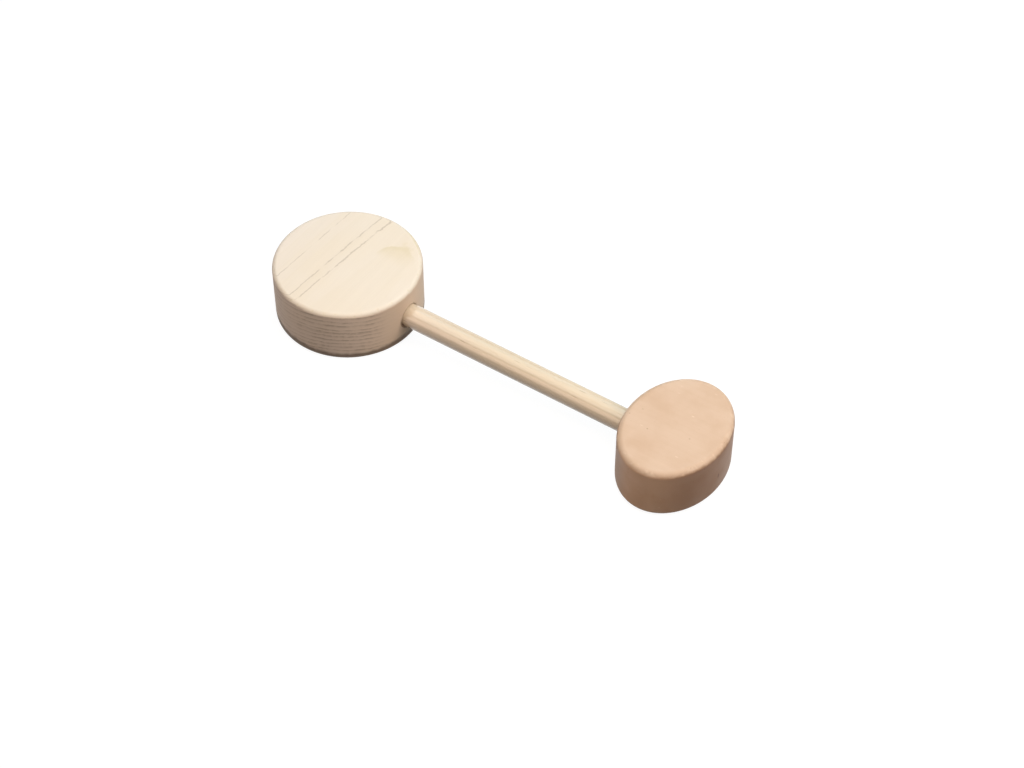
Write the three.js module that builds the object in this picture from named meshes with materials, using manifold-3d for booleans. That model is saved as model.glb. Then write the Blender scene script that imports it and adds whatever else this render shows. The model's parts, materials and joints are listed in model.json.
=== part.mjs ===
// Dumbbell rattle: a round and an oval wooden head, glued on the two ends of a dowel handle.
// Each head is bored from below into a sound chamber that holds loose beads, and a lid let into
// the underside closes it. Millimetres, +Z up. The rattle lies flat: the origin is on the table
// under its middle, and +X runs along the handle towards the oval head.
import * as THREE from "three";
import { mergeVertices } from "three/addons/utils/BufferGeometryUtils.js";
import Module from "manifold-3d";

const wasm = await Module();
wasm.setup();

// Handle
const HANDLE_DIAMETER = 8;
const HANDLE_AXIS_HEIGHT = 9.75; // above the table
const HANDLE_END_CHAMFER = 0.8;

// Round head
const ROUND_HEAD_DIAMETER = 50;
const ROUND_HEAD_THICKNESS = 20.5;
const ROUND_HEAD_EDGE_RADIUS = 1.6;
const ROUND_HEAD_WALL = 9.5; // from the rim to the sound chamber

// Oval head: its long side lies across the handle
const OVAL_HEAD_LENGTH = 44;
const OVAL_HEAD_WIDTH = 34;
const OVAL_HEAD_THICKNESS = 19.5;
const OVAL_HEAD_EDGE_RADIUS = 2.2;
const OVAL_HEAD_WALL = 8.5;

const HEAD_SPACING = 127; // between the centres of the heads

// Sound chambers and the lids that close them
const CHAMBER_ROOF = 5;
const CHAMBER_CORNER_RADIUS = 2;
const LID_THICKNESS = 4;
const LID_LEDGE = 2; // width of the step that the lid is glued to
const LID_ARRIS = 0.4;
const SOCKET_WEB = 1.5; // wood left between a handle socket and its chamber

// Beads
const ROUND_HEAD_BEADS = 5;
const OVAL_HEAD_BEADS = 3;
const BEAD_LANE_GAP = 0.4; // side by side, between neighbours
const BEAD_REST_SHARES = [0.45, -0.7, 0.2, -0.35, 0.8]; // where each lies, as a share of its reach

// Fits
const GLUE_GAP = 0.2;
const RUNNING_GAP = 0.3; // a bead's least distance to wood
const CUTTER_OVERRUN = 3; // how far a cutter starts outside the wood

// Facets
const OUTLINE_STEPS = 48;
const CHAMBER_STEPS = 32;
const EDGE_STEPS = 5;
const ARRIS_STEPS = 1;
const HANDLE_SIDES = 48;
const BEAD_DETAIL = 3;

const OVERALL_LENGTH = ROUND_HEAD_DIAMETER / 2 + HEAD_SPACING + OVAL_HEAD_WIDTH / 2;

const roundHead = {
  name: "round_head",
  beadName: "round_bead",
  centreX: (ROUND_HEAD_DIAMETER - OVERALL_LENGTH) / 2,
  towardsHandle: 1,
  semiX: ROUND_HEAD_DIAMETER / 2,
  semiY: ROUND_HEAD_DIAMETER / 2,
  thickness: ROUND_HEAD_THICKNESS,
  edgeRadius: ROUND_HEAD_EDGE_RADIUS,
  wall: ROUND_HEAD_WALL,
  beadCount: ROUND_HEAD_BEADS,
  wood: new THREE.MeshStandardMaterial({ color: "#efdfc8", roughness: 0.62, metalness: 0 }),
};

const ovalHead = {
  name: "oval_head",
  beadName: "oval_bead",
  centreX: roundHead.centreX + HEAD_SPACING,
  towardsHandle: -1,
  semiX: OVAL_HEAD_WIDTH / 2,
  semiY: OVAL_HEAD_LENGTH / 2,
  thickness: OVAL_HEAD_THICKNESS,
  edgeRadius: OVAL_HEAD_EDGE_RADIUS,
  wall: OVAL_HEAD_WALL,
  beadCount: OVAL_HEAD_BEADS,
  wood: new THREE.MeshStandardMaterial({ color: "#e4c2a2", roughness: 0.58, metalness: 0 }),
};

const handleWood = new THREE.MeshStandardMaterial({ color: "#ecd7b6", roughness: 0.5, metalness: 0 });
const beadWood = new THREE.MeshStandardMaterial({ color: "#c99d6d", roughness: 0.45, metalness: 0 });

// A closed three.js geometry as a solid that can be cut.
function solidOf(geometry) {
  const bare = geometry.clone();
  bare.deleteAttribute("normal");
  bare.deleteAttribute("uv");
  const merged = mergeVertices(bare);
  return new wasm.Manifold(
    new wasm.Mesh({
      numProp: 3,
      vertProperties: merged.attributes.position.array,
      triVerts: new Uint32Array(merged.index.array),
    }),
  );
}

// A solid as a three.js geometry.
function geometryOf(solid) {
  const { vertProperties, triVerts } = solid.getMesh();
  const geometry = new THREE.BufferGeometry();
  geometry.setAttribute("position", new THREE.BufferAttribute(vertProperties, 3));
  geometry.setIndex(new THREE.BufferAttribute(triVerts, 1));
  geometry.computeVertexNormals();
  return geometry;
}

// An oval disc standing on z = bottom, with both of its edges rounded by one radius all the way round.
function ovalDisc(semiX, semiY, bottom, height, edgeRadius, edgeSteps, outlineSteps) {
  const outline = new THREE.Shape();
  outline.absellipse(0, 0, semiX, semiY, 0, 2 * Math.PI);
  const disc = new THREE.ExtrudeGeometry(outline, {
    depth: height - 2 * edgeRadius,
    bevelThickness: edgeRadius,
    bevelSize: edgeRadius,
    bevelOffset: -edgeRadius,
    bevelSegments: edgeSteps,
    curveSegments: outlineSteps,
  });
  return disc.translate(0, 0, bottom + edgeRadius);
}

// The chamber's outline follows the head's, one wall further in.
function chamberOf(head) {
  return { semiX: head.semiX - head.wall, semiY: head.semiY - head.wall };
}

// How far the handle's socket reaches in, measured from the head's centre.
function socketFloor(head) {
  return chamberOf(head).semiX + SOCKET_WEB;
}

// A drilled socket along X for the handle, open at the head's rim.
function socketCutter(head) {
  const floor = socketFloor(head);
  const mouth = head.semiX + CUTTER_OVERRUN;
  const radius = HANDLE_DIAMETER / 2 + GLUE_GAP;
  const cutter = new THREE.CylinderGeometry(radius, radius, mouth - floor, HANDLE_SIDES);
  cutter.rotateZ(-Math.PI / 2);
  return cutter.translate((head.towardsHandle * (mouth + floor)) / 2, 0, HANDLE_AXIS_HEIGHT);
}

// A head: the rounded block, less its sound chamber, the seat of its lid and the handle's socket.
function headShell(head) {
  const { semiX, semiY } = chamberOf(head);
  const start = -CUTTER_OVERRUN;
  const block = ovalDisc(
    head.semiX, head.semiY, 0, head.thickness, head.edgeRadius, EDGE_STEPS, OUTLINE_STEPS,
  );
  const chamber = ovalDisc(
    semiX, semiY, start, head.thickness - CHAMBER_ROOF - start, CHAMBER_CORNER_RADIUS, EDGE_STEPS,
    CHAMBER_STEPS,
  );
  const lidSeat = ovalDisc(
    semiX + LID_LEDGE, semiY + LID_LEDGE, start, LID_THICKNESS + GLUE_GAP - start, LID_ARRIS,
    ARRIS_STEPS, CHAMBER_STEPS,
  );
  const shell = solidOf(block)
    .subtract(solidOf(chamber))
    .subtract(solidOf(lidSeat))
    .subtract(solidOf(socketCutter(head)));
  const mesh = new THREE.Mesh(geometryOf(shell), head.wood);
  mesh.name = head.name;
  return mesh;
}

// The lid is flush with the underside and closes the chamber on the beads.
function chamberLid(head) {
  const { semiX, semiY } = chamberOf(head);
  const margin = LID_LEDGE - GLUE_GAP;
  const lid = ovalDisc(
    semiX + margin, semiY + margin, 0, LID_THICKNESS, LID_ARRIS, ARRIS_STEPS, CHAMBER_STEPS,
  );
  const mesh = new THREE.Mesh(geometryOf(solidOf(lid)), head.wood);
  mesh.name = `${head.name}_lid`;
  return mesh;
}

// How far along X a ball can roll from the middle of an oval chamber, in the lane at height y.
// The ball's centre stays on the curve that lies one offset inside the oval; y rises with the
// oval's angle on that curve, so halving the angle's interval finds the lane.
function laneReach(semiX, semiY, offset, y) {
  const halvings = 40;
  let low = 0;
  let high = Math.PI / 2;
  let reach = 0;
  for (let i = 0; i < halvings; i += 1) {
    const angle = (low + high) / 2;
    const normal = new THREE.Vector2(Math.cos(angle) / semiX, Math.sin(angle) / semiY).normalize();
    reach = semiX * Math.cos(angle) - offset * normal.x;
    if (semiY * Math.sin(angle) - offset * normal.y < Math.abs(y)) low = angle;
    else high = angle;
  }
  return reach;
}

// The beads' lanes share the chamber's width evenly, with half a lane to spare at each side.
function lanePitch(head) {
  return (2 * (chamberOf(head).semiY - RUNNING_GAP)) / (head.beadCount + 1);
}

// Both heads hold one size of bead: the largest for which the closer set of lanes has room.
function beadRadius() {
  return (Math.min(lanePitch(roundHead), lanePitch(ovalHead)) - BEAD_LANE_GAP) / 2;
}

// The beads lie side by side on the lid, each in a lane of its own along the handle's direction.
function beads(head) {
  const { semiX, semiY } = chamberOf(head);
  const radius = beadRadius();
  const offset = radius + RUNNING_GAP;
  const pitch = lanePitch(head);
  const meshes = [];
  for (let lane = 0; lane < head.beadCount; lane += 1) {
    const y = (lane - (head.beadCount - 1) / 2) * pitch;
    const rest = BEAD_REST_SHARES[lane % BEAD_REST_SHARES.length] * laneReach(semiX, semiY, offset, y);
    const bead = new THREE.Mesh(new THREE.IcosahedronGeometry(radius, BEAD_DETAIL), beadWood);
    bead.position.set(rest, y, LID_THICKNESS + offset);
    bead.name = `${head.beadName}_${lane + 1}`;
    meshes.push(bead);
  }
  return meshes;
}

// A head with all that it holds, placed on the handle's line.
function headGroup(head) {
  const group = new THREE.Group();
  group.position.x = head.centreX;
  group.add(headShell(head), chamberLid(head), ...beads(head));
  return group;
}

// The handle runs from the floor of one socket to the floor of the other, its ends chamfered.
function handle() {
  const from = roundHead.centreX + socketFloor(roundHead) + GLUE_GAP;
  const to = ovalHead.centreX - socketFloor(ovalHead) - GLUE_GAP;
  const radius = HANDLE_DIAMETER / 2;
  const face = radius - HANDLE_END_CHAMFER;
  const length = to - from;
  const profile = [
    new THREE.Vector2(0, 0),
    new THREE.Vector2(face, 0),
    new THREE.Vector2(radius, HANDLE_END_CHAMFER),
    new THREE.Vector2(radius, length - HANDLE_END_CHAMFER),
    new THREE.Vector2(face, length),
    new THREE.Vector2(0, length),
  ];
  const dowel = new THREE.LatheGeometry(profile, HANDLE_SIDES).rotateZ(-Math.PI / 2);
  const mesh = new THREE.Mesh(geometryOf(solidOf(dowel)), handleWood);
  mesh.position.set(from, 0, HANDLE_AXIS_HEIGHT);
  mesh.name = "handle_dowel";
  return mesh;
}

const rattle = new THREE.Group();
rattle.add(headGroup(roundHead), handle(), headGroup(ovalHead));

export default rattle;
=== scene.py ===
# %% [markdown]
# # A wooden dumbbell rattle
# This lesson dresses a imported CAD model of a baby's rattle: a round head and an oval head of two
# different woods, joined by a dowel. The CAD model stays the measure of everything. Each piece is
# grown again as a finer mesh from the same sizes, and then gets a wood that is worked out in
# nodes, right through the block, so that top, rim and underside agree with each other.

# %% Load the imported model
import json
import math

import bpy
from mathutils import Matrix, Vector

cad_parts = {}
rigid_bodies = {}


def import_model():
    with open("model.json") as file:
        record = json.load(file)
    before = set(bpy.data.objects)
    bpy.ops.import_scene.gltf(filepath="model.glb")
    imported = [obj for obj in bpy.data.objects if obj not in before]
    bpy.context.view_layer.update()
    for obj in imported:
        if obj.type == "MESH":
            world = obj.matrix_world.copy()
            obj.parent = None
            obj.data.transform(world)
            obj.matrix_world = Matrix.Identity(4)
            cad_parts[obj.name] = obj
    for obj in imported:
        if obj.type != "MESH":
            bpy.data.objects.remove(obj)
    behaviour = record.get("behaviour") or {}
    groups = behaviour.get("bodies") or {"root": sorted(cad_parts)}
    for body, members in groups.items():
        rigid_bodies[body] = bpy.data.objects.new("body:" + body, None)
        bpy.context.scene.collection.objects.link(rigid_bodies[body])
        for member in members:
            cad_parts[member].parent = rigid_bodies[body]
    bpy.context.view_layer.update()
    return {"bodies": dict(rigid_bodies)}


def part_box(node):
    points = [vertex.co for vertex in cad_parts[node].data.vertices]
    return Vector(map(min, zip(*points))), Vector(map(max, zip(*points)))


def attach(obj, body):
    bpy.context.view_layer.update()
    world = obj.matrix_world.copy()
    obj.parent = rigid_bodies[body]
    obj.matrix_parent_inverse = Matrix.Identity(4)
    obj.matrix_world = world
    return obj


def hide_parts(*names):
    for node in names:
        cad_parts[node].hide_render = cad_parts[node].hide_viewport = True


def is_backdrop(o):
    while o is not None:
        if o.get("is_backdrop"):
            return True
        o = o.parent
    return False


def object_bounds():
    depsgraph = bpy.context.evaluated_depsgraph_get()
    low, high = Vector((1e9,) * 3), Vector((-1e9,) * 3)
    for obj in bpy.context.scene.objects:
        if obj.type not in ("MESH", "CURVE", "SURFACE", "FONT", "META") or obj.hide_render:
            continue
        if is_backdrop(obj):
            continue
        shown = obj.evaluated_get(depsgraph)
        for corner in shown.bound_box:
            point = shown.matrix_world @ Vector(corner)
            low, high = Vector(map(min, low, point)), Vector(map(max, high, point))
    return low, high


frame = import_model()
MM = 0.001

# %% [markdown]
# ## The camera
# The photograph was taken from above one long side, with a long lens. The camera's direction,
# distance and focal length were found by laying the known outlines of both heads over the
# picture until they agreed, so the render has the photograph's perspective and not only its view.

# %% Camera
IMAGE_WIDTH = 1024
FOCAL_PIXELS = 2340.3
AZIMUTH = math.radians(33.868)
ELEVATION = math.radians(47.854)
DISTANCE = 752.97 * MM
TARGET = Vector((10.243, -6.226, 9.0)) * MM

back = Vector((
    math.sin(AZIMUTH) * math.cos(ELEVATION),
    -math.cos(AZIMUTH) * math.cos(ELEVATION),
    math.sin(ELEVATION),
))
lens = bpy.data.cameras.new("camera")
lens.sensor_fit = "HORIZONTAL"
lens.sensor_width = 36.0
lens.lens = FOCAL_PIXELS / IMAGE_WIDTH * lens.sensor_width
camera = bpy.data.objects.new("camera", lens)
camera.location = TARGET + back * DISTANCE
camera.rotation_euler = (-back).to_track_quat("-Z", "Y").to_euler()
bpy.context.scene.collection.objects.link(camera)
bpy.context.scene.camera = camera
bpy.context.scene.view_settings.view_transform = "Standard"
print("lens", round(lens.lens, 1), "mm")

# %% [markdown]
# ## Helpers for node trees
# Every mesh and every finish below is a node tree, so a few small helpers come first. One adds a
# node and fills its sockets, with numbers or with links, and one starts a new tree with named
# inputs and outputs. Two more are for arithmetic. That keeps the later cells short enough to read
# as recipes.

# %% Add a node, start a tree
def add(tree, kind, inputs=None, **options):
    """One node: options are its own settings, inputs its sockets by name or by number."""
    node = tree.nodes.new(kind)
    for option, value in options.items():
        setattr(node, option, value)
    for key, value in (inputs or {}).items():
        if isinstance(value, bpy.types.NodeSocket):
            tree.links.new(value, node.inputs[key])
        else:
            node.inputs[key].default_value = value
    return node


def start_tree(name, kind, inputs, outputs):
    """A new tree with named sockets, and its group input and output sockets."""
    tree = bpy.data.node_groups.new(name, kind)
    for label, socket in inputs:
        tree.interface.new_socket(label, in_out="INPUT", socket_type="NodeSocket" + socket)
    for label, socket in outputs:
        tree.interface.new_socket(label, in_out="OUTPUT", socket_type="NodeSocket" + socket)
    given = tree.nodes.new("NodeGroupInput").outputs
    result = tree.nodes.new("NodeGroupOutput").inputs
    return tree, given, result


def calc(tree, operation, a, b=0.0, c=0.0):
    """The result of a Math node."""
    return add(tree, "ShaderNodeMath", {0: a, 1: b, 2: c}, operation=operation).outputs[0]


def times(tree, first, *others):
    """The product of several values, from left to right."""
    for other in others:
        first = calc(tree, "MULTIPLY", first, other)
    return first


print("helpers ready")

# %% [markdown]
# ## A blank with its edges rounded over
# A wooden disc like this is sawn to an outline, and a rounding-over cutter is then run along it.
# The tree does the same: a profile with two filleted corners is swept along the oval, so the
# rounding has one radius all the way round, on an oval as on a circle. Scaling a round disc into
# an oval would stretch the rounding as well. Two flat caps close the top and the bottom.

# %% Tree: rounded-over blank, the outline
blank, given, result = start_tree(
    "rounded_over_blank", "GeometryNodeTree",
    [("Half Width", "Float"), ("Half Length", "Float"), ("Height", "Float"),
     ("Edge Radius", "Float"), ("Outline Steps", "Int"), ("Edge Steps", "Int")],
    [("Blank", "Geometry")],
)
FLAT_MARGIN = 0.5 * MM
circle = add(blank, "GeometryNodeCurvePrimitiveCircle",
             {"Resolution": given["Outline Steps"], "Radius": 1.0})
halves = add(blank, "ShaderNodeCombineXYZ",
             {"X": given["Half Width"], "Y": given["Half Length"], "Z": 1.0})
oval = add(blank, "GeometryNodeTransform",
           {"Geometry": circle.outputs["Curve"], "Scale": halves.outputs[0]})
fence = add(blank, "GeometryNodeSetCurveNormal", {"Curve": oval.outputs[0]}, mode="Z_UP")
inset = times(blank, calc(blank, "ADD", given["Edge Radius"], FLAT_MARGIN), -1.0)
drop = times(blank, given["Height"], -1.0)

# %% Tree: rounded-over blank, the cutter's profile
corners = [
    add(blank, "ShaderNodeCombineXYZ", {"X": x, "Y": y}).outputs[0]
    for x, y in ((inset, drop), (0.0, drop), (0.0, 0.0), (inset, 0.0))
]
index = add(blank, "GeometryNodeInputIndex").outputs[0]
pick = add(blank, "GeometryNodeIndexSwitch", {"Index": index}, data_type="VECTOR")
pick.index_switch_items.new()
pick.index_switch_items.new()
for place, corner in enumerate(corners):
    blank.links.new(corner, pick.inputs[place + 1])
line = add(blank, "GeometryNodeCurvePrimitiveLine")
four = add(blank, "GeometryNodeResampleCurve", {"Curve": line.outputs[0], "Count": 4})
bent = add(blank, "GeometryNodeSetPosition",
           {"Geometry": four.outputs[0], "Position": pick.outputs[0]})
cutter = add(blank, "GeometryNodeFilletCurve",
             {"Curve": bent.outputs[0], "Count": given["Edge Steps"],
              "Radius": given["Edge Radius"], "Limit Radius": True}, mode="POLY")
rim = add(blank, "GeometryNodeCurveToMesh",
          {"Curve": fence.outputs[0], "Profile Curve": cutter.outputs[0]})

# %% Tree: rounded-over blank, the caps
outward = add(blank, "GeometryNodeInputNormal").outputs[0]
step_in = add(blank, "ShaderNodeVectorMath", {0: outward, "Scale": inset}, operation="SCALE")
inner = add(blank, "GeometryNodeSetPosition",
            {"Geometry": fence.outputs[0], "Offset": step_in.outputs[0]})
face = add(blank, "GeometryNodeFillCurve", {"Curve": inner.outputs[0]}, mode="NGONS")
lift = add(blank, "ShaderNodeCombineXYZ", {"Z": given["Height"]})
top = add(blank, "GeometryNodeTransform",
          {"Geometry": face.outputs[0], "Translation": lift.outputs[0]})
bottom = add(blank, "GeometryNodeFlipFaces", {"Mesh": face.outputs[0]})
joined = add(blank, "GeometryNodeJoinGeometry")
for part in (bottom, top, rim):
    blank.links.new(part.outputs[0], joined.inputs[0])
closed = add(blank, "GeometryNodeMergeByDistance",
             {"Geometry": joined.outputs[0], "Distance": 0.001 * MM})
blank.links.new(closed.outputs[0], result["Blank"])
print("tree", blank.name, "has", len(blank.nodes), "nodes")

# %% [markdown]
# ## A bored head
# On the bench a head is the rounded blank, bored out from below for the beads, stepped for a lid
# and drilled from the side for the handle. The tree repeats those cuts with Boolean nodes on
# blanks of other sizes. The hollow can't be seen in the photograph, but the mesh is also used on
# its own, so it has the same inside as the CAD model. A drilled hole has its sharp edge taken
# off, so the socket gets a very small countersink, which shows as a thin line round the handle.

# %% Finish a tree
def finish_tree(tree, geometry, place, wood, result):
    """Every piece's tree ends alike: put in place, realized, and given its wood."""
    moved = add(tree, "GeometryNodeTransform", {"Geometry": geometry, "Translation": place})
    real = add(tree, "GeometryNodeRealizeInstances", {"Geometry": moved.outputs[0]})
    dressed = add(tree, "GeometryNodeSetMaterial",
                  {"Geometry": real.outputs[0], "Material": wood})
    tree.links.new(dressed.outputs[0], result)
    print("tree", tree.name, "has", len(tree.nodes), "nodes")


# %% Tree: bored head, the blank and the hollows
head, given, result = start_tree(
    "bored_head", "GeometryNodeTree",
    [("Half Width", "Float"), ("Half Length", "Float"), ("Height", "Float"),
     ("Edge Radius", "Float"), ("Wall", "Float"), ("Roof", "Float"), ("Chamber Corner", "Float"),
     ("Seat Depth", "Float"), ("Seat Ledge", "Float"), ("Seat Arris", "Float"),
     ("Socket Radius", "Float"), ("Socket Floor", "Float"), ("Countersink", "Float"),
     ("Socket Height", "Float"), ("Socket Turn", "Vector"), ("Place", "Vector"),
     ("Outline Steps", "Int"), ("Edge Steps", "Int"), ("Wood", "Material")],
    [("Head", "Geometry")],
)
OVERRUN = 3.0 * MM


def hollow(half_width, half_length, depth, corner, edge_steps):
    """A smaller blank that starts below the head, ready to be taken away from it."""
    tall = calc(head, "ADD", depth, OVERRUN)
    core = add(head, "GeometryNodeGroup",
               {"Half Width": half_width, "Half Length": half_length, "Height": tall,
                "Edge Radius": corner, "Outline Steps": 128, "Edge Steps": edge_steps},
               node_tree=blank)
    sunk = add(head, "GeometryNodeTransform",
               {"Geometry": core.outputs[0], "Translation": (0.0, 0.0, -OVERRUN)})
    return sunk.outputs[0]


whole = add(head, "GeometryNodeGroup", node_tree=blank)
for label in ("Half Width", "Half Length", "Height", "Edge Radius", "Outline Steps", "Edge Steps"):
    head.links.new(given[label], whole.inputs[label])
half_x = calc(head, "SUBTRACT", given["Half Width"], given["Wall"])
half_y = calc(head, "SUBTRACT", given["Half Length"], given["Wall"])
chamber_depth = calc(head, "SUBTRACT", given["Height"], given["Roof"])
chamber = hollow(half_x, half_y, chamber_depth, given["Chamber Corner"], 6)
seat = hollow(calc(head, "ADD", half_x, given["Seat Ledge"]),
              calc(head, "ADD", half_y, given["Seat Ledge"]),
              given["Seat Depth"], given["Seat Arris"], 2)

# %% Tree: bored head, the socket and its countersink
def drilled(mesh, start):
    """A tool that stands upright, moved to its start and turned to lie along the handle."""
    begin = add(head, "ShaderNodeCombineXYZ", {"Z": start}).outputs[0]
    raised = add(head, "GeometryNodeTransform", {"Geometry": mesh, "Translation": begin})
    height = add(head, "ShaderNodeCombineXYZ", {"Z": given["Socket Height"]}).outputs[0]
    laid = add(head, "GeometryNodeTransform",
               {"Geometry": raised.outputs[0], "Translation": height,
                "Rotation": given["Socket Turn"]})
    return laid.outputs[0]


mouth = calc(head, "ADD", given["Half Width"], OVERRUN)
drill_length = calc(head, "SUBTRACT", mouth, given["Socket Floor"])
drill = add(head, "GeometryNodeMeshCone",
            {"Vertices": 96, "Radius Top": given["Socket Radius"],
             "Radius Bottom": given["Socket Radius"], "Depth": drill_length})
sink_depth = calc(head, "ADD", given["Countersink"], OVERRUN)
sink = add(head, "GeometryNodeMeshCone",
           {"Vertices": 96, "Radius Top": calc(head, "ADD", given["Socket Radius"], sink_depth),
            "Radius Bottom": given["Socket Radius"], "Depth": sink_depth})
socket = drilled(drill.outputs["Mesh"], given["Socket Floor"])
sink_start = calc(head, "SUBTRACT", given["Half Width"], given["Countersink"])
countersink = drilled(sink.outputs["Mesh"], sink_start)

# %% Tree: bored head, the cuts
shell = whole.outputs[0]
for tool in (chamber, seat, socket, countersink):
    cut = add(head, "GeometryNodeMeshBoolean", {"Mesh 1": shell, "Mesh 2": tool},
              operation="DIFFERENCE", solver="EXACT")
    shell = cut.outputs["Mesh"]
finish_tree(head, shell, given["Place"], given["Wood"], result["Head"])

# %% [markdown]
# ## The lids, the dowel and the beads
# A lid is a small blank. The dowel is a round rod with chamfered ends: a circle swept along a
# line of four points, thinner at both ends. A bead is a ball that was tumbled with many others,
# so it isn't a perfect sphere: a slow noise takes a few hundredths of a millimetre off its skin.

# %% Tree: lid
lid, given, result = start_tree(
    "let_in_lid", "GeometryNodeTree",
    [("Half Width", "Float"), ("Half Length", "Float"), ("Thickness", "Float"),
     ("Arris", "Float"), ("Place", "Vector"), ("Wood", "Material")],
    [("Lid", "Geometry")],
)
disc = add(lid, "GeometryNodeGroup",
           {"Half Width": given["Half Width"], "Half Length": given["Half Length"],
            "Height": given["Thickness"], "Edge Radius": given["Arris"],
            "Outline Steps": 192, "Edge Steps": 3}, node_tree=blank)
finish_tree(lid, disc.outputs[0], given["Place"], given["Wood"], result["Lid"])

# %% Tree: dowel
dowel, given, result = start_tree(
    "chamfered_dowel", "GeometryNodeTree",
    [("Length", "Float"), ("Radius", "Float"), ("Chamfer", "Float"), ("Sides", "Int"),
     ("Place", "Vector"), ("Wood", "Material")],
    [("Dowel", "Geometry")],
)
face_radius = calc(dowel, "SUBTRACT", given["Radius"], given["Chamfer"])
far_shoulder = calc(dowel, "SUBTRACT", given["Length"], given["Chamfer"])
index = add(dowel, "GeometryNodeInputIndex").outputs[0]


def by_index(values):
    """A number for each of the four points of the dowel's line."""
    switch = add(dowel, "GeometryNodeIndexSwitch", {"Index": index}, data_type="FLOAT")
    for _ in range(len(values) - 2):
        switch.index_switch_items.new()
    for place, value in enumerate(values):
        dowel.links.new(value, switch.inputs[place + 1])
    return switch.outputs[0]


zero = times(dowel, given["Length"], 0.0)
along = by_index([zero, given["Chamfer"], far_shoulder, given["Length"]])
spread = by_index([face_radius, given["Radius"], given["Radius"], face_radius])
line = add(dowel, "GeometryNodeCurvePrimitiveLine")
four = add(dowel, "GeometryNodeResampleCurve", {"Curve": line.outputs[0], "Count": 4})
points = add(dowel, "ShaderNodeCombineXYZ", {"X": along})
rod_line = add(dowel, "GeometryNodeSetPosition",
               {"Geometry": four.outputs[0], "Position": points.outputs[0]})
ring = add(dowel, "GeometryNodeCurvePrimitiveCircle", {"Resolution": given["Sides"], "Radius": 1.0})
rod = add(dowel, "GeometryNodeCurveToMesh",
          {"Curve": rod_line.outputs[0], "Profile Curve": ring.outputs["Curve"], "Scale": spread,
           "Fill Caps": True})
finish_tree(dowel, rod.outputs[0], given["Place"], given["Wood"], result["Dowel"])

# %% Tree: bead
bead, given, result = start_tree(
    "tumbled_bead", "GeometryNodeTree",
    [("Radius", "Float"), ("Wear", "Float"), ("Seed", "Float"), ("Place", "Vector"),
     ("Wood", "Material")],
    [("Bead", "Geometry")],
)
ball = add(bead, "GeometryNodeMeshIcoSphere", {"Radius": given["Radius"], "Subdivisions": 5})
bumps = add(bead, "ShaderNodeTexNoise", {"W": given["Seed"], "Scale": 500.0, "Detail": 1.0},
            noise_dimensions="4D")
worn = times(bead, bumps.outputs["Fac"], given["Wear"], -1.0)
normal = add(bead, "GeometryNodeInputNormal").outputs[0]
push = add(bead, "ShaderNodeVectorMath", {0: normal, "Scale": worn}, operation="SCALE")
tumbled = add(bead, "GeometryNodeSetPosition",
              {"Geometry": ball.outputs["Mesh"], "Offset": push.outputs[0]})
finish_tree(bead, tumbled.outputs[0], given["Place"], given["Wood"], result["Bead"])

# %% [markdown]
# ## Wood that goes right through the block
# A tree lays down rings round its pith, and a plank cuts through them. On this round head the
# plank was sawn flat: the pith lay far below, so the rings show as close level lines on the end
# grain of the rim and as a few long lines on the top, with a pointed patch where one ring just
# breaks the surface. A flat drawing on each face couldn't agree round the edge, so the rings are
# worked out in three dimensions, from each point's distance to the pith. All of the sizes in the
# finishes are millimetres, with the grain along the pattern's own Y axis.

# %% Shader helpers
def stretched_noise(tree, vector, across, along, detail=2.0, seed=0.0):
    """Noise from 0 to 1 that changes faster across the grain than along it."""
    scaled = add(tree, "ShaderNodeVectorMath", {0: vector, 1: (across, along, across)},
                 operation="MULTIPLY")
    noise = add(tree, "ShaderNodeTexNoise",
                {"Vector": scaled.outputs[0], "W": seed, "Scale": 1.0, "Detail": detail},
                noise_dimensions="4D")
    return noise.outputs["Fac"]


def step(tree, value, low, high, at_low=0.0, at_high=1.0):
    """A smooth step from at_low to at_high while the value goes from low to high."""
    node = add(tree, "ShaderNodeMapRange", {0: value, 1: low, 2: high, 3: at_low, 4: at_high},
               interpolation_type="SMOOTHSTEP")
    return node.outputs[0]


def blend(tree, factor, a, b, mode="MIX"):
    """Two colours mixed, or one laid over the other, by a factor."""
    node = add(tree, "ShaderNodeMix", {0: factor, 6: a, 7: b}, data_type="RGBA", blend_type=mode)
    return node.outputs[2]


print("shader helpers ready")

# %% Group: growth rings
rings, given, result = start_tree(
    "growth_rings", "ShaderNodeTree",
    [("Vector", "Vector"), ("Pith Side", "Float"), ("Pith Depth", "Float"),
     ("Zero Radius", "Float"), ("Ring Width", "Float"), ("First Ring", "Float"),
     ("Wander", "Float"), ("Rise", "Float")],
    [("Radius", "Float"), ("Late Wood", "Float"), ("Left Of Pith", "Float")],
)
axes = add(rings, "ShaderNodeSeparateXYZ", {0: given["Vector"]}).outputs
side = calc(rings, "SUBTRACT", axes["X"], given["Pith Side"])
depth = calc(rings, "ADD", axes["Z"], given["Pith Depth"])
squares = calc(rings, "ADD", times(rings, side, side), times(rings, depth, depth))
from_pith = calc(rings, "SUBTRACT", calc(rings, "SQRT", squares), given["Zero Radius"])
slow = calc(rings, "SUBTRACT", stretched_noise(rings, given["Vector"], 0.05, 0.02, 1.0), 0.5)
quick = calc(rings, "SUBTRACT", stretched_noise(rings, given["Vector"], 0.2, 0.28, 3.0, 7.0), 0.5)
# rings wander freely low in the block, and less near the top, where the photograph fixes them
loose = step(rings, axes["Z"], 14.0, 20.0, 12.0, 1.0)
stray = times(rings, calc(rings, "MULTIPLY_ADD", quick, 0.8, slow), given["Wander"])
tilt = calc(rings, "MULTIPLY_ADD", axes["Y"], given["Rise"], from_pith)
radius = calc(rings, "MULTIPLY_ADD", stray, loose, tilt)

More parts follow.
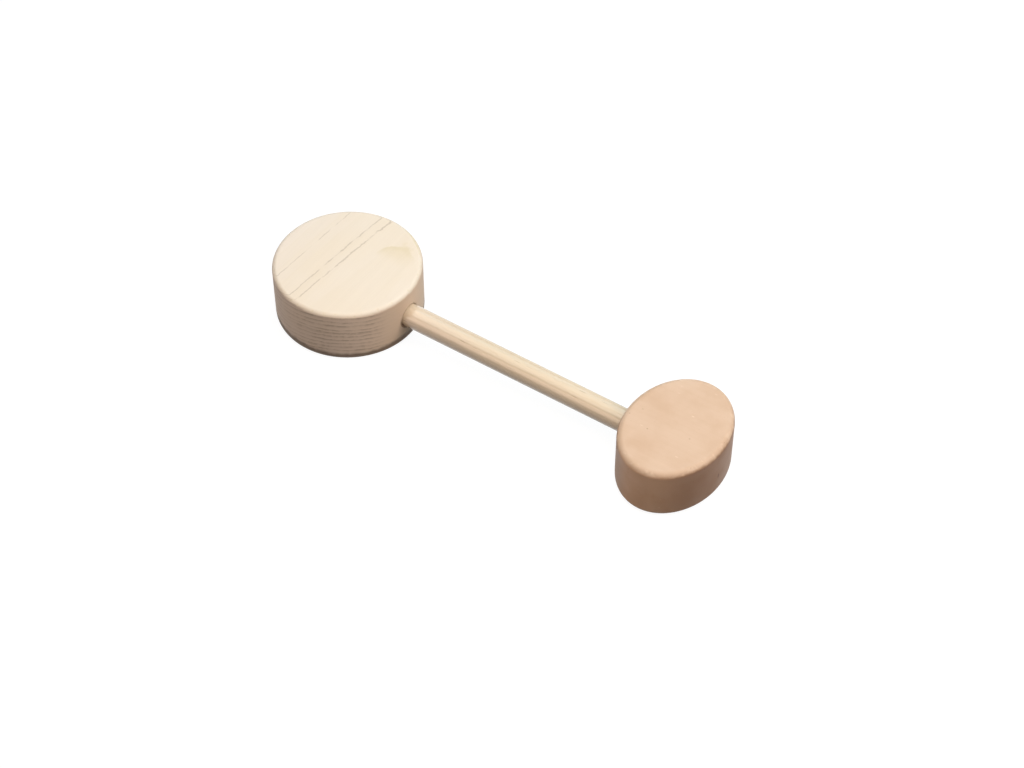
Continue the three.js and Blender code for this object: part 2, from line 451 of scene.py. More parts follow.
# %% Group: growth rings, the seasons
uneven = add(rings, "ShaderNodeTexNoise", {"W": radius, "Scale": 0.5, "Detail": 1.0},
             noise_dimensions="1D").outputs["Fac"]
# towards the pith the rings are wider and less even
older = step(rings, radius, -3.0, -1.0, 1.4, 0.0)
wider = calc(rings, "MAXIMUM", calc(rings, "SUBTRACT", -1.0, radius), 0.0)
slower = calc(rings, "MULTIPLY_ADD", wider, 0.12, radius)
crowded = calc(rings, "MULTIPLY_ADD", calc(rings, "SUBTRACT", uneven, 0.5), older, slower)
past_first = calc(rings, "SUBTRACT", crowded, given["First Ring"])
count = calc(rings, "DIVIDE", past_first, given["Ring Width"])
share = calc(rings, "FRACT", count)
# each ring darkens slowly through its season and ends sharply
late = times(rings, calc(rings, "POWER", share, 2.5), step(rings, share, 0.9, 1.0, 1.0, 0.0))
rings.links.new(radius, result["Radius"])
rings.links.new(late, result["Late Wood"])
rings.links.new(step(rings, side, -3.0, 0.0, 1.0, 0.0), result["Left Of Pith"])
print("group", rings.name)

# %% [markdown]
# ## Lines, fibres and flecks
# Three smaller patterns are shared by the woods. A growth line is one dark ring, shaken a little
# and broken where a noise falls too low. Fibres are a noise stretched far along the grain. Flecks
# are cells of a Voronoi pattern, of which only some, drawn by lot, carry a spot. How far they are
# stretched makes them pits, pale flecks or the long pores of a dowel.

# %% Group: one dark growth line
ring_line, given, result = start_tree(
    "growth_line", "ShaderNodeTree",
    [("Vector", "Vector"), ("Radius", "Float"), ("Place", "Float"), ("Width", "Float"),
     ("Seed", "Float"), ("Breaks", "Float")],
    [("Mask", "Float")],
)
shake = stretched_noise(ring_line, given["Vector"], 0.6, 0.6, 3.0, given["Seed"])
jump = calc(ring_line, "SUBTRACT", shake, 0.5)
shaky = calc(ring_line, "MULTIPLY_ADD", jump, 0.24, given["Radius"])
away = calc(ring_line, "ABSOLUTE", calc(ring_line, "SUBTRACT", shaky, given["Place"]))
core = step(ring_line, calc(ring_line, "DIVIDE", away, given["Width"]), 0.0, 1.0, 1.0, 0.0)
far = calc(ring_line, "ADD", given["Seed"], 50.0)
dash = stretched_noise(ring_line, given["Vector"], 0.6, 0.22, 3.0, far)
kept = step(ring_line, calc(ring_line, "SUBTRACT", dash, given["Breaks"]), -0.1, 0.1)
ring_line.links.new(times(ring_line, core, kept), result["Mask"])
print("group", ring_line.name)

# %% Group: fibres
fibres, given, result = start_tree(
    "fibres", "ShaderNodeTree", [("Vector", "Vector"), ("Fineness", "Float")],
    [("Streak", "Float"), ("Shade", "Float")],
)
fine = add(fibres, "ShaderNodeVectorMath", {0: given["Vector"], "Scale": given["Fineness"]},
           operation="SCALE").outputs[0]
thin = stretched_noise(fibres, fine, 2.2, 0.06, 3.0, 1.0)
broad = stretched_noise(fibres, fine, 0.5, 0.012, 2.0, 4.0)
streak = calc(fibres, "MULTIPLY_ADD", broad, 0.45, times(fibres, thin, 0.55))
fibres.links.new(streak, result["Streak"])
fibres.links.new(step(fibres, streak, 0.3, 0.7, 0.0, 1.0), result["Shade"])
print("group", fibres.name)

# %% Group: flecks
flecks, given, result = start_tree(
    "flecks", "ShaderNodeTree",
    [("Vector", "Vector"), ("Per Millimetre", "Float"), ("Stretch", "Float"), ("Share", "Float"),
     ("Size", "Float")],
    [("Mask", "Float")],
)
dense = given["Per Millimetre"]
cell = add(flecks, "ShaderNodeCombineXYZ",
           {"X": dense, "Y": calc(flecks, "DIVIDE", dense, given["Stretch"]), "Z": dense})
spot = add(flecks, "ShaderNodeVectorMath", {0: given["Vector"], 1: cell.outputs[0]},
           operation="MULTIPLY")
cells = add(flecks, "ShaderNodeTexVoronoi", {"Vector": spot.outputs[0], "Scale": 1.0})
lots = add(flecks, "ShaderNodeSeparateColor", {0: cells.outputs["Color"]}).outputs
drawn = times(flecks, calc(flecks, "LESS_THAN", lots[0], given["Share"]), lots[1])
off_centre = calc(flecks, "DIVIDE", cells.outputs["Distance"], given["Size"])
near = step(flecks, off_centre, 0.4, 1.0, 1.0, 0.0)
flecks.links.new(times(flecks, drawn, near), result["Mask"])
print("group", flecks.name)

# %% [markdown]
# ## Where the saw has been, and shade at the sockets
# The same wood looks different where the fibres are cut across. The first group tells the rim from
# the flat faces by the surface's tilt, and end grain by its angle to the fibres, with a noise that
# makes the edge between them look worn. The second finds the mouth of a socket by its distance
# from the handle's axis: shade is painted there, for the gap round the handle, most of all below
# it.

# %% Group: cut faces
cut_faces, given, result = start_tree(
    "cut_faces", "ShaderNodeTree",
    [("Normal", "Vector"), ("Grain", "Vector"), ("Vector", "Vector"), ("Fineness", "Float"),
     ("Wear", "Float")],
    [("End Grain", "Float"), ("Rim", "Float"), ("Edge", "Float")],
)
facing = add(cut_faces, "ShaderNodeVectorMath", {0: given["Normal"], 1: given["Grain"]},
             operation="DOT_PRODUCT").outputs["Value"]
tilt = add(cut_faces, "ShaderNodeSeparateXYZ", {0: given["Normal"]}).outputs["Z"]
above = calc(cut_faces, "GREATER_THAN", tilt, 0.0)
upright = calc(cut_faces, "ABSOLUTE", tilt)
fine = add(cut_faces, "ShaderNodeVectorMath", {0: given["Vector"], "Scale": given["Fineness"]},
           operation="SCALE")
scuffed = stretched_noise(cut_faces, fine.outputs[0], 1.0, 1.0, 3.0, 13.0)
scuffed = calc(cut_faces, "SUBTRACT", scuffed, 0.5)
turned = calc(cut_faces, "MULTIPLY_ADD", scuffed, given["Wear"], upright)
edge = times(cut_faces, step(cut_faces, upright, 0.25, 0.6),
             step(cut_faces, upright, 0.9, 0.999, 1.0, 0.0))
# on the upper edge the rim's tone ends a little earlier than on the lower one
first = calc(cut_faces, "MULTIPLY_ADD", above, -0.15, 0.3)
last = calc(cut_faces, "MULTIPLY_ADD", above, -0.2, 0.9)
rim = step(cut_faces, turned, first, last, 1.0, 0.0)
ends = step(cut_faces, calc(cut_faces, "ABSOLUTE", facing), 0.25, 0.95)
cut_faces.links.new(times(cut_faces, ends, rim), result["End Grain"])
cut_faces.links.new(rim, result["Rim"])
cut_faces.links.new(times(cut_faces, edge, step(cut_faces, scuffed, 0.02, 0.16)), result["Edge"])
print("group", cut_faces.name)

# %% Group: the mouth of a socket
socket_mouth_shade, given, result = start_tree(
    "socket_mouth_shade", "ShaderNodeTree",
    [("Vector", "Vector"), ("Height", "Float"), ("Radius", "Float")],
    [("Mask", "Float")],
)
SOCKET_HEIGHT = 9.75
SOCKET_RADIUS = 4.2
INNER_SIDES = 62.0  # both mouths are nearer the middle of the rattle than this
axes = add(socket_mouth_shade, "ShaderNodeSeparateXYZ", {0: given["Vector"]}).outputs
up = calc(socket_mouth_shade, "SUBTRACT", axes["Z"], given["Height"])
squares = calc(socket_mouth_shade, "ADD", times(socket_mouth_shade, axes["Y"], axes["Y"]),
               times(socket_mouth_shade, up, up))
beyond = calc(socket_mouth_shade, "SUBTRACT", calc(socket_mouth_shade, "SQRT", squares), given["Radius"])
inside = calc(socket_mouth_shade, "LESS_THAN", calc(socket_mouth_shade, "ABSOLUTE", axes["X"]), INNER_SIDES)
ringed = times(socket_mouth_shade, inside, step(socket_mouth_shade, beyond, 0.35, 0.75, 1.0, 0.0))
# painted shade round the mouth: deepest below the handle, faint above it
lower = step(socket_mouth_shade, up, -2.0, 3.0, 1.0, 0.12)
socket_mouth_shade.links.new(times(socket_mouth_shade, ringed, lower), result["Mask"])
print("group", socket_mouth_shade.name)

# %% [markdown]
# ## The round head's wood
# A pale, creamy softwood with a satin surface. Its lines were read off the photograph as
# distances from the pith: two thin dark ones close together, and a fainter one further out, all
# broken here and there. The wood is paler on the side away from the handle. Front and back the
# rim cuts across the fibres: there it is greyer, with the rings as fine broken lines, and it is
# warmer where the fibres run past, near the handle. Use has worn the edge unevenly. The foot is
# painted dark, partly the wood's dark edge and partly shade under the rounded foot, and shade is
# painted round the mouth of the socket, deepest below the handle.

# %% Start a wood, and use a group
PER_METRE = 1000.0
RELIEF_DEPTH = 0.05 * MM
FOOT_SEED = 6.0


def start_wood(name, turn=(0.0, 0.0, 0.0), shift=(0.0, 0.0, 0.0)):
    """A material whose pattern is in millimetres, turned so that its Y axis is the grain."""
    material = bpy.data.materials.new(name)
    material.use_nodes = True
    tree = material.node_tree
    where = add(tree, "ShaderNodeTexCoord").outputs
    place = add(tree, "ShaderNodeMapping",
                {"Vector": where["Object"], "Location": shift, "Rotation": turn,
                 "Scale": (PER_METRE, PER_METRE, PER_METRE)})
    rattle = add(tree, "ShaderNodeVectorMath", {0: where["Object"], "Scale": PER_METRE},
                 operation="SCALE")
    return material, tree, place.outputs[0], rattle.outputs[0], where["Normal"]


def use(tree, group, **inputs):
    """One of the groups above, placed in a material; underscores in names are spaces."""
    values = {key.replace("_", " "): value for key, value in inputs.items()}
    return add(tree, "ShaderNodeGroup", values, node_tree=group).outputs


def ragged_height(tree, place, spacing, detail, depth):
    """The height less a noise, so that an edge drawn by height comes out ragged."""
    noise = stretched_noise(tree, place, spacing, spacing, detail, FOOT_SEED)
    height = add(tree, "ShaderNodeSeparateXYZ", {0: place}).outputs["Z"]
    return calc(tree, "MULTIPLY_ADD", noise, -depth, height)


def finish_wood(tree, colour, roughness, height, bump):
    """Colour, roughness and a fine relief go into the shader."""
    shader = tree.nodes["Principled BSDF"]
    relief = add(tree, "ShaderNodeBump",
                 {"Strength": bump, "Distance": RELIEF_DEPTH, "Height": height})
    tree.links.new(colour, shader.inputs["Base Color"])
    tree.links.new(roughness, shader.inputs["Roughness"])
    tree.links.new(relief.outputs[0], shader.inputs["Normal"])
    return shader


print("one millimetre of pattern is", 1 / PER_METRE, "m")

# %% Round head wood, the colours
CREAM = (0.795, 0.695, 0.575, 1.0)
LATE_CREAM = (0.675, 0.56, 0.35, 1.0)
WARM_CREAM = (0.79, 0.67, 0.515, 1.0)
SAP_CREAM = (0.80, 0.715, 0.64, 1.0)
LINE_BROWN = (0.33, 0.24, 0.16, 1.0)
RIM_CREAM = (0.914, 0.818, 0.753, 1.0)
END_CREAM = (1.01, 1.07, 1.18, 1.0)
LATE_END = (0.48, 0.42, 0.37, 1.0)
DARK_FOOT_AND_SHADE = (0.275, 0.24, 0.205, 1.0)
SHADE_BROWN = (0.42, 0.33, 0.25, 1.0)
ROUND_CENTRE = 59.5
# for each line its place among the rings, its width, a seed, how often it breaks, its strength
PALE_LINES = (
    (0.53, 0.07, 3.0, 0.42, 0.46),
    (1.12, 0.07, 11.0, 0.42, 0.44),
    (3.49, 0.09, 23.0, 0.5, 0.37),
)
print("dark lines on the top:", len(PALE_LINES))

# %% Round head wood, masks for the top and the rim
def pointed_patch(tree, place, axes, radius):
    """Where one ring just breaks the top: sharp on its left, fading to the front and right."""
    tip = calc(tree, "ADD", step(tree, axes["Y"], 11.5, 15.5, 0.0, 0.15), radius)
    wavy = calc(tree, "SUBTRACT", stretched_noise(tree, place, 0.3, 0.3, 3.0, 31.0), 0.5)
    tip = calc(tree, "MULTIPLY_ADD", wavy, 0.13, tip)
    return times(
        tree,
        step(tree, tip, -0.25, -0.2, 1.0, 0.0),
        step(tree, axes["Y"], 7.0, 13.0),
        step(tree, axes["X"], 12.0, 20.0, 1.0, 0.0),
        step(tree, axes["Z"], 18.5, 20.0),
        step(tree, tip, -0.42, -0.25, 0.3, 0.58),
    )


def rim_lines(tree, place, axes, late, end_grain):
    """The rings as fine lines on the end grain, faded in places and broken."""
    faded = step(tree, stretched_noise(tree, place, 0.16, 0.16, 3.0, 19.0), 0.3, 0.5, 0.25, 1.0)
    broken = step(tree, stretched_noise(tree, place, 0.55, 0.55, 2.0, 47.0), 0.35, 0.6, 0.4, 1.15)
    worn = times(
        tree,
        faded,
        step(tree, axes["X"], -7.0, 8.0, 0.42, 0.92),
        step(tree, axes["X"], 14.0, 21.0, 1.0, 0.85),
        broken,
    )
    return times(tree, late, step(tree, end_grain, 0.03, 0.5), worn)


def foot_band_and_shade(tree, place, axes, rim):
    """A dark band painted along the rim's foot, partly the wood's dark edge and partly shade under
    the rounded foot; it reaches a little higher away from the front right.
    """
    sideways = calc(tree, "ABSOLUTE", calc(tree, "SUBTRACT", axes["X"], 12.0))
    ragged = ragged_height(tree, place, spacing=0.35, detail=6.0, depth=1.8)
    ragged = calc(tree, "MULTIPLY_ADD", step(tree, sideways, 6.0, 16.0), -0.7, ragged)
    return times(tree, step(tree, ragged, 1.0, 2.6, 1.0, 0.0), rim)


# %% Round head wood
def round_wood(name, turn, shift, grain):
    """The pale wood, cut from its plank in one place or another."""
    material, tree, place, rattle, normal = start_wood(name, turn, shift)
    ring = use(tree, rings, Vector=place, Pith_Side=12.5, Pith_Depth=65.0, Zero_Radius=86.142,
               Ring_Width=1.475, First_Ring=-0.293, Wander=0.14, Rise=0.0155)
    fibre = use(tree, fibres, Vector=place, Fineness=1.0)
    faces = use(tree, cut_faces, Normal=normal, Grain=grain, Vector=place, Fineness=0.7, Wear=0.8)
    axes = add(tree, "ShaderNodeSeparateXYZ", {0: place}).outputs
    blotch = step(tree, stretched_noise(tree, place, 0.07, 0.05, 2.0, 5.0), 0.35, 0.75)
    colour = blend(tree, times(tree, blotch, 0.5), CREAM, WARM_CREAM)
    colour = blend(tree, step(tree, axes["X"], -25.0, -5.0, 0.5, 0.0), colour, SAP_CREAM)

    patch = pointed_patch(tree, place, axes, ring["Radius"])
    colour = blend(tree, patch, colour, LATE_CREAM)
    colour = blend(tree, times(tree, ring["Late Wood"], 0.1), colour, LATE_CREAM)
    for away, width, seed, breaks, strength in PALE_LINES:
        mark = use(tree, ring_line, Vector=place, Radius=ring["Radius"], Place=away, Width=width,
                   Seed=seed, Breaks=breaks)["Mask"]
        shown = times(tree, mark, ring["Left Of Pith"], strength)
        colour = blend(tree, shown, colour, LINE_BROWN)
    colour = blend(tree, times(tree, fibre["Shade"], 0.05), colour, LINE_BROWN)

    # the rim is greyer where the fibres end
    colour = blend(tree, faces["Rim"], colour, RIM_CREAM, "MULTIPLY")
    colour = blend(tree, faces["End Grain"], colour, END_CREAM, "MULTIPLY")
    lines = rim_lines(tree, place, axes, ring["Late Wood"], faces["End Grain"])
    colour = blend(tree, lines, colour, LATE_END, "MULTIPLY")
    # painted shade along the foot, mixed with a darker edge of the wood
    foot = foot_band_and_shade(tree, place, axes, faces["Rim"])
    colour = blend(tree, foot, colour, DARK_FOOT_AND_SHADE, "MULTIPLY")
    colour = blend(tree, times(tree, faces["Edge"], 0.35), colour, LATE_CREAM)
    # painted shade round the socket's mouth, deepest below the handle
    mouth = use(tree, socket_mouth_shade, Vector=rattle, Height=SOCKET_HEIGHT,
                Radius=SOCKET_RADIUS)["Mask"]
    colour = blend(tree, mouth, colour, SHADE_BROWN, "MULTIPLY")
    roughness = calc(tree, "MULTIPLY_ADD", faces["Rim"], 0.12, 0.5)
    height = calc(tree, "MULTIPLY_ADD", ring["Late Wood"], 0.6, fibre["Streak"])
    height = calc(tree, "MULTIPLY_ADD", faces["Edge"], -3.0, height)
    finish_wood(tree, colour, roughness, height, 0.2)
    return material


round_head_wood = round_wood("round_head_wood", (0, 0, 0), (ROUND_CENTRE, 0, 0), (0, 1, 0))
round_lid_wood = round_wood("round_lid_wood", (0, 0, 1.2), (ROUND_CENTRE, 0, 17.0),
                            (0.932, 0.362, 0))
print("round head wood:", len(round_head_wood.node_tree.nodes), "nodes")

# %% [markdown]
# ## The oval head's wood
# A close-grained hardwood, peach to pinkish brown, with hardly a ring to be seen: only cloudy
# patches, small pale flecks that lie along the handle, and a few dark pits. Its grain runs along
# the handle, so the rim is darkest at the far end, where the fibres end. The lip is worn and
# nicked. Shade is painted in one small dent in the rim, along the foot and round the socket. So
# the same groups get weaker rings, wider apart, and a sprinkling of flecks, and the sheen is a
# little duller than on the other woods.

# %% Oval head wood, the colours and the dent's painted shade
PEACH = (0.645, 0.462, 0.327, 1.0)
DEEP_PEACH = (0.57, 0.383, 0.251, 1.0)
PALE_FLECK = (0.90, 0.72, 0.55, 1.0)
DARK_FLECK = (0.34, 0.20, 0.125, 1.0)
RIM_PEACH = (0.952, 0.83, 0.745, 1.0)
END_PEACH = (0.468, 0.43, 0.395, 1.0)
OVAL_CENTRE = 67.5
DENT_PLACE = (84.46, -1.53, 7.9)
DENT_SIZE = (1.0, 0.55, 1.5)


def dent_shade(tree, rattle):
    """Painted shade of one small dent in the rim, at the far end; the dent itself has no relief."""
    aim = add(tree, "ShaderNodeVectorMath", {0: rattle, 1: DENT_PLACE}, operation="SUBTRACT")
    aim = add(tree, "ShaderNodeVectorMath", {0: aim.outputs[0], 1: DENT_SIZE}, operation="DIVIDE")
    apart = add(tree, "ShaderNodeVectorMath", {0: aim.outputs[0]}, operation="LENGTH")
    return step(tree, apart.outputs["Value"], 0.3, 1.0, 0.65, 0.0)


# %% Oval head wood
def oval_wood(name, turn, shift, grain):
    """The peach-coloured wood, cut from its plank in one place or another."""
    material, tree, place, rattle, normal = start_wood(name, turn, shift)
    ring = use(tree, rings, Vector=place, Pith_Side=-150.0, Pith_Depth=12.0, Zero_Radius=150.0,
               Ring_Width=2.3, First_Ring=0.3, Wander=0.9, Rise=0.02)
    fibre = use(tree, fibres, Vector=place, Fineness=0.8)
    faces = use(tree, cut_faces, Normal=normal, Grain=grain, Vector=place, Fineness=0.45, Wear=0.6)
    cloud = step(tree, stretched_noise(tree, place, 0.10, 0.085, 5.0, 2.0), 0.36, 0.68)
    pale = use(tree, flecks, Vector=place, Per_Millimetre=1.0, Stretch=2.6, Share=0.085,
               Size=0.3)["Mask"]
    dark = use(tree, flecks, Vector=place, Per_Millimetre=0.8, Stretch=1.3, Share=0.06,
               Size=0.25)["Mask"]
    nicks = use(tree, flecks, Vector=rattle, Per_Millimetre=0.7, Stretch=1.0, Share=0.4,
                Size=0.35)["Mask"]
    colour = blend(tree, times(tree, cloud, 0.7), PEACH, DEEP_PEACH)
    colour = blend(tree, times(tree, ring["Late Wood"], 0.14), colour, DEEP_PEACH)
    colour = blend(tree, times(tree, fibre["Shade"], 0.03), colour, DARK_FLECK)
    colour = blend(tree, times(tree, pale, 0.4), colour, PALE_FLECK)
    colour = blend(tree, times(tree, dark, 0.6), colour, DARK_FLECK)
    colour = blend(tree, times(tree, faces["Edge"], 0.2), colour, PALE_FLECK)
    colour = blend(tree, times(tree, nicks, faces["Edge"]), colour, DARK_FLECK)
    colour = blend(tree, faces["Rim"], colour, RIM_PEACH, "MULTIPLY")
    colour = blend(tree, faces["End Grain"], colour, END_PEACH, "MULTIPLY")
    # painted shade round the socket's mouth, deepest below the handle
    mouth = use(tree, socket_mouth_shade, Vector=rattle, Height=SOCKET_HEIGHT,
                Radius=SOCKET_RADIUS)["Mask"]
    colour = blend(tree, mouth, colour, SHADE_BROWN, "MULTIPLY")

    # painted shade: a thin dark line along the foot, and the shade of one dent
    ragged = ragged_height(tree, place, spacing=0.2, detail=4.0, depth=1.6)
    foot = times(tree, step(tree, ragged, 0.0, 1.0, 0.6, 0.0), step(tree, faces["Rim"], 0.0, 0.35))
    colour = blend(tree, foot, colour, DARK_FOOT_AND_SHADE, "MULTIPLY")
    colour = blend(tree, dent_shade(tree, rattle), colour, SHADE_BROWN, "MULTIPLY")
    roughness = calc(tree, "MULTIPLY_ADD", cloud, 0.08, 0.46)
    height = calc(tree, "MULTIPLY_ADD", faces["Edge"], -4.0, fibre["Streak"])
    shader = finish_wood(tree, colour, roughness, height, 0.2)
    shader.inputs["Specular IOR Level"].default_value = 0.35
    return material


QUARTER = math.pi / 2
oval_head_wood = oval_wood("oval_head_wood", (0, 0, QUARTER), (0, -OVAL_CENTRE, 0), (1, 0, 0))
oval_lid_wood = oval_wood("oval_lid_wood", (0, 0, 0.3), (-OVAL_CENTRE, 0, 30.0),
                          (0.296, 0.955, 0))
print("oval head wood:", len(oval_head_wood.node_tree.nodes), "nodes")

# %% [markdown]
# ## The handle's wood and the beads' wood
# Dowel stock is straight grained and smooth from the cutter head, and it is waxed: a thin clear
# coat gives it the sharpest highlight of the three. Short dark pores run along it, and its straw
# colour blushes a little towards the round head. The beads are a darker hardwood.

# %% Handle wood
STRAW = (0.68, 0.545, 0.37, 1.0)
DEEP_STRAW = (0.607, 0.46, 0.292, 1.0)
BLUSH_STRAW = (0.70, 0.56, 0.42, 1.0)
PORE_BROWN = (0.33, 0.215, 0.13, 1.0)

handle_wood, tree, place, rattle, normal = start_wood(
    "handle_wood", (0, 0, QUARTER), (0, 0, -SOCKET_HEIGHT))
ring = use(tree, rings, Vector=place, Pith_Side=20.0, Pith_Depth=14.0, Zero_Radius=24.0,
           Ring_Width=1.7, First_Ring=0.2, Wander=0.3, Rise=0.004)
fibre = use(tree, fibres, Vector=place, Fineness=1.3)
pores = use(tree, flecks, Vector=place, Per_Millimetre=1.6, Stretch=9.0, Share=0.2,
            Size=0.32)["Mask"]
faces = use(tree, cut_faces, Normal=normal, Grain=(1, 0, 0), Vector=place, Fineness=0.9, Wear=0.2)
colour = blend(tree, times(tree, ring["Late Wood"], 0.5), STRAW, DEEP_STRAW)
colour = blend(tree, times(tree, fibre["Shade"], 0.15), colour, DEEP_STRAW)
along = add(tree, "ShaderNodeSeparateXYZ", {0: rattle}).outputs["X"]
colour = blend(tree, step(tree, along, -34.0, 4.0, 0.6, 0.0), colour, BLUSH_STRAW)
colour = blend(tree, times(tree, pores, 0.55), colour, PORE_BROWN)
colour = blend(tree, faces["End Grain"], colour, END_CREAM, "MULTIPLY")
roughness = calc(tree, "MULTIPLY_ADD", fibre["Streak"], 0.08, 0.1)
height = calc(tree, "SUBTRACT", fibre["Streak"], pores)
shader = finish_wood(tree, colour, roughness, height, 0.1)
shader.inputs["Coat Weight"].default_value = 0.5
shader.inputs["Coat Roughness"].default_value = 0.04
print("handle wood:", len(tree.nodes), "nodes")

# %% Bead wood
NUT = (0.58, 0.34, 0.15, 1.0)
DEEP_NUT = (0.36, 0.19, 0.08, 1.0)

bead_wood, tree, place, rattle, normal = start_wood("bead_wood", (0.4, 0.2, 0.9))
ring = use(tree, rings, Vector=place, Pith_Side=30.0, Pith_Depth=40.0, Zero_Radius=50.0,
           Ring_Width=1.1, First_Ring=0.0, Wander=1.2, Rise=0.05)
fibre = use(tree, fibres, Vector=place, Fineness=1.6)
colour = blend(tree, times(tree, ring["Late Wood"], 0.8), NUT, DEEP_NUT)
colour = blend(tree, times(tree, fibre["Shade"], 0.35), colour, DEEP_NUT)
roughness = calc(tree, "MULTIPLY_ADD", fibre["Streak"], 0.15, 0.33)
finish_wood(tree, colour, roughness, fibre["Streak"], 0.15)
print("bead wood:", len(tree.nodes), "nodes")

# %% [markdown]
# ## Growing the pieces
# Each tree is run once, as a modifier on an empty object, and its result is kept as a plain mesh.
# The sizes come from the CAD nodes' boxes wherever a box shows them, and the rest repeat the
# shop drawing. A piece then takes its CAD node's place and moves with its body.

# %% Run a tree and keep the mesh
SHARP_ANGLE = math.radians(35)


def grow(name, tree, sizes):
    """A plain mesh from a geometry tree; inputs are set by their identifiers."""
    piece = bpy.data.objects.new(name, bpy.data.meshes.new(name))
    bpy.context.scene.collection.objects.link(piece)
    modifier = piece.modifiers.new("grow", "NODES")
    modifier.node_group = tree
    for item in tree.interface.items_tree:
        if item.item_type == "SOCKET" and item.in_out == "INPUT":
            modifier[item.identifier] = sizes[item.name]
    depsgraph = bpy.context.evaluated_depsgraph_get()
    mesh = bpy.data.meshes.new_from_object(piece.evaluated_get(depsgraph))
    piece.modifiers.remove(modifier)
    piece.data = mesh
    mesh.name = name
    mesh.shade_smooth()
    mesh.set_sharp_from_angle(angle=SHARP_ANGLE)
    print(name, "has", len(mesh.polygons), "faces")
    return piece


def stand_for(piece, node, body):
    """The piece replaces a CAD node and moves with its body."""
    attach(piece, body)
    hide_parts(node)


# %% The two heads and their lids
LID_THICKNESS = 4.0 * MM
LID_LEDGE = 2.0 * MM
LID_ARRIS = 0.4 * MM
GLUE_GAP = 0.2 * MM
SOCKET_WEB = 1.5 * MM
COUNTERSINK = 0.3 * MM
CHAMBER_ROOF = 5.0 * MM
CHAMBER_CORNER = 2.0 * MM
OUTLINE_STEPS = 288
EDGE_STEPS = 12
low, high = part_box("handle_dowel")
handle_radius = (high.z - low.z) / 2
axis_height = (high.z + low.z) / 2
# for each head its node, the way its socket turns, edge radius, wall, its wood, its lid's wood
HEADS = (
    ("round_head", 1, 1.6 * MM, 9.5 * MM, round_head_wood, round_lid_wood),
    ("oval_head", -1, 2.2 * MM, 8.5 * MM, oval_head_wood, oval_lid_wood),
)

for node, towards, edge, wall, wood, lid_wood in HEADS:
    corner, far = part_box(node)
    half = (far - corner) / 2
    place = Vector(((far.x + corner.x) / 2, (far.y + corner.y) / 2, 0.0))
    piece = grow(node + "_turned", head, {
        "Half Width": half.x, "Half Length": half.y, "Height": far.z, "Edge Radius": edge,
        "Wall": wall, "Roof": CHAMBER_ROOF, "Chamber Corner": CHAMBER_CORNER,
        "Seat Depth": LID_THICKNESS + GLUE_GAP, "Seat Ledge": LID_LEDGE, "Seat Arris": LID_ARRIS,
        "Socket Radius": handle_radius + GLUE_GAP,
        "Socket Floor": half.x - wall + SOCKET_WEB, "Countersink": COUNTERSINK,
        "Socket Height": axis_height, "Socket Turn": (0.0, towards * QUARTER, 0.0),
        "Place": place, "Outline Steps": OUTLINE_STEPS, "Edge Steps": EDGE_STEPS, "Wood": wood,
    })
    stand_for(piece, node, "rattle")
    margin = LID_LEDGE - GLUE_GAP - wall
    piece = grow(node + "_lid_turned", lid, {
        "Half Width": half.x + margin, "Half Length": half.y + margin, "Thickness": LID_THICKNESS,
        "Arris": LID_ARRIS, "Place": place, "Wood": lid_wood,
    })
    stand_for(piece, node + "_lid", "rattle")

# %% The handle
DOWEL_CHAMFER = 0.8 * MM
DOWEL_SIDES = 128
piece = grow("handle_dowel_turned", dowel, {
    "Length": high.x - low.x, "Radius": handle_radius, "Chamfer": DOWEL_CHAMFER,
    "Sides": DOWEL_SIDES, "Place": (low.x, 0.0, axis_height), "Wood": handle_wood,
})
stand_for(piece, "handle_dowel", "rattle")

# %% The beads
BEAD_WEAR = 0.05 * MM
beads = [name for name in frame["bodies"] if "bead" in name]
for number, name in enumerate(beads):
    corner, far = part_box(name)
    piece = grow(name + "_tumbled", bead, {
        "Radius": (far.z - corner.z) / 2, "Wear": BEAD_WEAR, "Seed": float(number),
        "Place": (corner + far) / 2, "Wood": bead_wood,
    })
    stand_for(piece, name, name)

# %% [markdown]
# ## Floor, light and background
# The photograph has a white ground and soft light from several sides. A big softbox hangs
# overhead and a cooler one behind it. A tall warm strip stands in front, on the left: it is what
# shines in the handle's middle band. A pale warm panel stands on the right, a little to the back,
# so that the handle shades the round head's rim. The camera sees the floor almost white, by Light
# Path, but the shadow stays, and for lighting the floor is dim, so that it doesn't brighten the
# rims. The floor is clear from below and for very short rays, and the world is brighter below
# the horizon, so that the underside can be looked at too.

# %% Floor
HALF_FLOOR = 4.0
FLOOR_DROP = 0.02 * MM
FLOOR_CORNERS = ((-1, -1), (1, -1), (1, 1), (-1, 1))
SHADED_WHITE = (0.15, 0.15, 0.15, 1.0)
GLOW_STRENGTH = 0.92
DIM_PAPER = (0.15, 0.14, 0.125, 1.0)
SHORT_RAY = 5 * FLOOR_DROP
WHITE = (1.0, 1.0, 1.0, 1.0)
mesh = bpy.data.meshes.new("floor")
mesh.from_pydata(
    [(x * HALF_FLOOR, y * HALF_FLOOR, -FLOOR_DROP) for x, y in FLOOR_CORNERS],
    [], [(0, 1, 2, 3)],
)
floor = bpy.data.objects.new("floor", mesh)
bpy.context.scene.collection.objects.link(floor)
floor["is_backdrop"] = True


def seen_directly(tree):
    """1 for a ray from the camera, a reflection or a view through glass; 0 for lighting."""
    path = add(tree, "ShaderNodeLightPath").outputs
    seen = calc(tree, "MAXIMUM", path["Is Camera Ray"], path["Is Glossy Ray"])
    return calc(tree, "MAXIMUM", seen, path["Is Transmission Ray"])


